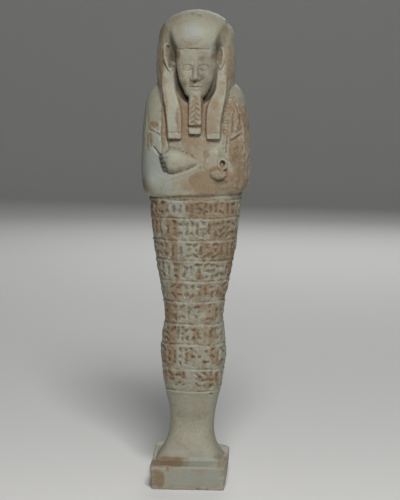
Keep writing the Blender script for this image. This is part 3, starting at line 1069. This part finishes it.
def layDirtAndShade(dirt):  # deposit in cuts, hollows and rows, and the darkest places beside the face
    dirt = 0.45 * dirt + 0.55 * spreadOut(dirt, int(8 / coarse**2) + 1)
    varied = 0.7 + 0.6 * noise(xs, ys, zs, 2.6, 61, 2)
    dirt = np.clip(dirt * varied + 0.6 * np.clip(hollow, 0.0, 1.0), 0.0, 1.0)
    inRows = between(36.5, 39.0, 115.0, 116.5, zs)
    cloudy = 0.3 + 0.35 * noise(xs, ys, zs, 4.0, 67, 3)
    dirt = np.clip(dirt + inRows * cloudy * smooth(20.0, 90.0, zs), 0.0, 1.0)
    ears = earSolid(xs, ys, zs)
    valley = smooth(1.8, -0.2, templeHollows(xs, ys, zs)) * smooth(185.0, 177.0, zs)
    valley = valley * smooth(0.2, 1.0, ears)
    atWell = np.abs(ovalLoft(xs, ys, zs, faceWell, headShape["faceMiddle"]))
    groove = 1.0 - 0.8 * smooth(4.0, 8.0, xs) * smooth(156.0, 162.0, zs)  # fainter on the figure's left
    groove = groove * smooth(1.1, 0.2, atWell) * smooth(-13.2, -11.0, ys)
    groove = groove * smooth(153.0, 155.0, zs) * smooth(178.0, 175.0, zs)
    dirt = np.clip(np.maximum(dirt, 0.5 * np.maximum(valley, groove)), 0.0, 1.0)
    crease = smooth(1.1, 0.0, templeCreases(xs, ys, zs)) * smooth(181.0, 176.5, zs) * smooth(0.1, 0.7, ears)
    cup = smooth(0.7, 0.0, earHollow(xs, ys, zs)) * smooth(0.0, 0.5, ears)
    beside = np.maximum(0.7 * valley * smooth(168.0, 172.0, zs), crease)
    shade = np.maximum(beside, np.maximum(groove, 0.75 * cup))
    for across, up, wide, tall, strength in shadePatches:
        k = ((xs - across) / wide) ** 2 + ((zs - up) / tall) ** 2
        shade = np.maximum(shade, strength * smooth(1.6, 0.3, k) * inFront)
    return dirt, shade


def layWear():  # glaze rubbed pale on what stands out and along the edges of the base's front
    wear = np.clip(-hollow, 0.0, 1.0)
    sideways = smooth(1.3, 0.3, baseShape["halfWidth"] - np.abs(xs - baseShape["side"]))
    rubbed = np.maximum(np.maximum(smooth(1.3, 0.3, np.abs(zs - 9.4)), smooth(0.9, 0.2, zs)), sideways)
    wear = np.maximum(wear, 0.9 * rubbed * smooth(-19.5, -21.0, ys) * smooth(11.0, 10.4, zs))
    return np.maximum(wear, 1.1 * ledge * wornLedge)


brown, blue = layBrownAndBlue()
dirt, shade = layDirtAndShade(dirt)
wear = layWear()
print("stains laid")


def addLayer(name, values):  # one number for each point of the skin, for the material
    layer = mesh.attributes.new(name, "FLOAT", "POINT")
    layer.data.foreach_set("value", np.concatenate([values.reshape(-1), [0.0, 0.0]]).astype(np.float32))


for name, values in (("dirt", dirt), ("brown", brown), ("blue", blue), ("wear", wear), ("shade", shade)):
    addLayer(name, values)

faience = {
    "glaze": (0.300, 0.298, 0.236), "bare": (0.256, 0.182, 0.114), "blueGlaze": (0.285, 0.316, 0.288),
    "deposit": (0.135, 0.090, 0.054), "stain": (0.190, 0.130, 0.078), "worn": (0.400, 0.385, 0.310),
    "speck": (0.120, 0.088, 0.055), "ochre": (0.275, 0.225, 0.135), "hollow": (0.062, 0.050, 0.034),
    "roughness": (0.48, 0.78), "specular": 0.35, "grain": 0.85, "grainDepth": 0.45,
}


def makeFaience():
    material = bpy.data.materials.new("faience")
    material.use_nodes = True
    tree = material.node_tree
    shader = tree.nodes["Principled BSDF"]
    where = tree.nodes.new("ShaderNodeTexCoord").outputs["Object"]

    def link(socket, value):
        if hasattr(value, "is_linked"):
            tree.links.new(value, socket)
        else:
            socket.default_value = value

    def layer(name):
        found = tree.nodes.new("ShaderNodeAttribute")
        found.attribute_name = name
        return found.outputs["Fac"]

    def grain(size, detail=3.0, rough=0.55):  # cloudy noise whose lumps are about size millimetres
        found = tree.nodes.new("ShaderNodeTexNoise")
        link(found.inputs["Vector"], where)
        found.inputs["Scale"].default_value = 1.0 / (size * mm)
        found.inputs["Detail"].default_value = detail
        found.inputs["Roughness"].default_value = rough
        return found.outputs["Fac"]

    def combine(kind, a, b):
        found = tree.nodes.new("ShaderNodeMath")
        found.operation = kind
        link(found.inputs[0], a)
        link(found.inputs[1], b)
        return found.outputs[0]

    def span(value, low, high, toLow=0.0, toHigh=1.0):  # eased from toLow at low to toHigh at high
        found = tree.nodes.new("ShaderNodeMapRange")
        found.interpolation_type = "SMOOTHSTEP"
        link(found.inputs["Value"], value)
        for name, number in (("From Min", low), ("From Max", high), ("To Min", toLow), ("To Max", toHigh)):
            found.inputs[name].default_value = number
        return found.outputs["Result"]

    def blend(share, a, b):
        found = tree.nodes.new("ShaderNodeMix")
        found.data_type = "RGBA"
        link(found.inputs["Factor"], share)
        for socket, value in ((found.inputs["A"], a), (found.inputs["B"], b)):
            link(socket, (*faience[value], 1.0) if isinstance(value, str) else value)
        return found.outputs["Result"]

    def times(a, b):
        return combine("MULTIPLY", a, b)

    def off(value, amount):  # a share about 0.5, turned into plus or minus half the amount
        return times(combine("SUBTRACT", value, 0.5), amount)

    def total(*values):
        found = values[0]
        for value in values[1:]:
            found = combine("ADD", found, value)
        return found

    brown, blue, dirt, wear, shade = (layer(name) for name in ("brown", "blue", "dirt", "wear", "shade"))
    big, middle, small, fine = grain(8.0), grain(2.3, 5.0, 0.68), grain(0.85, 4.0, 0.65), grain(0.4, 2.0)
    cloud = span(big, 0.36, 0.64)
    mottle = span(total(times(middle, 0.6), times(small, 0.4)), 0.38, 0.62)
    grit = span(total(times(small, 0.6), times(fine, 0.4)), 0.38, 0.62)
    bareShare = total(times(brown, 1.15), off(mottle, 0.5), off(cloud, 0.32))
    blueShare = total(times(blue, 0.8), off(mottle, 0.6))
    stainShare = total(times(brown, 0.7), off(grit, 0.5), off(mottle, 0.4))
    ochreShare = total(off(cloud, -0.5), off(grit, 0.6), times(brown, 0.3))
    dirtShare = total(dirt, off(mottle, 0.5), off(grit, 0.3))
    colour = blend(span(bareShare, -0.2, 0.95), "glaze", "bare")
    for share, low, high, most, finish in (  # laid one over another, most: how far each can cover
        (blueShare, 0.2, 0.9, 0.9, "blueGlaze"),
        (stainShare, 0.3, 1.25, 0.9, "stain"),
        (ochreShare, 0.0, 0.7, 0.55, "ochre"),
        (total(wear, off(grit, 0.9)), 0.2, 1.1, 0.5, "worn"),
        (dirtShare, 0.25, 1.15, 0.85, "deposit"),
        (fine, 0.63, 0.76, 0.45, "speck"),
    ):
        colour = blend(span(share, low, high, 0.0, most), colour, finish)
    colour = blend(times(shade, 0.8), colour, "hollow")
    link(shader.inputs["Base Color"], colour)
    low, high = faience["roughness"]
    link(shader.inputs["Roughness"], span(total(bareShare, dirt), -0.1, 1.0, low, high))
    shader.inputs["Specular IOR Level"].default_value = faience["specular"]
    bump = tree.nodes.new("ShaderNodeBump")
    bump.inputs["Strength"].default_value = faience["grain"]
    bump.inputs["Distance"].default_value = faience["grainDepth"] * mm
    grainHeight = total(middle, small, times(fine, 0.6))
    rougher = total(times(combine("MINIMUM", brown, 0.7), 0.7), 0.5)  # more grain where the glaze has gone
    link(bump.inputs["Height"], times(grainHeight, rougher))
    link(shader.inputs["Normal"], bump.outputs["Normal"])
    return material


def thinOut(piece, triangles):  # merges the flattest faces until at most that many triangles are left
    have = sum(len(p.vertices) - 2 for p in piece.data.polygons)
    if have <= triangles:
        return
    shrink = piece.modifiers.new("thin", "DECIMATE")
    shrink.ratio = triangles / have
    thinned = bpy.data.meshes.new_from_object(piece.evaluated_get(bpy.context.evaluated_depsgraph_get()))
    piece.modifiers.clear()
    piece.data = thinned


thinOut(ushabti, skin["triangles"])
mesh = ushabti.data
mesh.shade_smooth()
print("thinned to", sum(len(p.vertices) - 2 for p in mesh.polygons), "triangles")
mesh.materials.append(makeFaience())
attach(ushabti, "root")
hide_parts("ushabti")
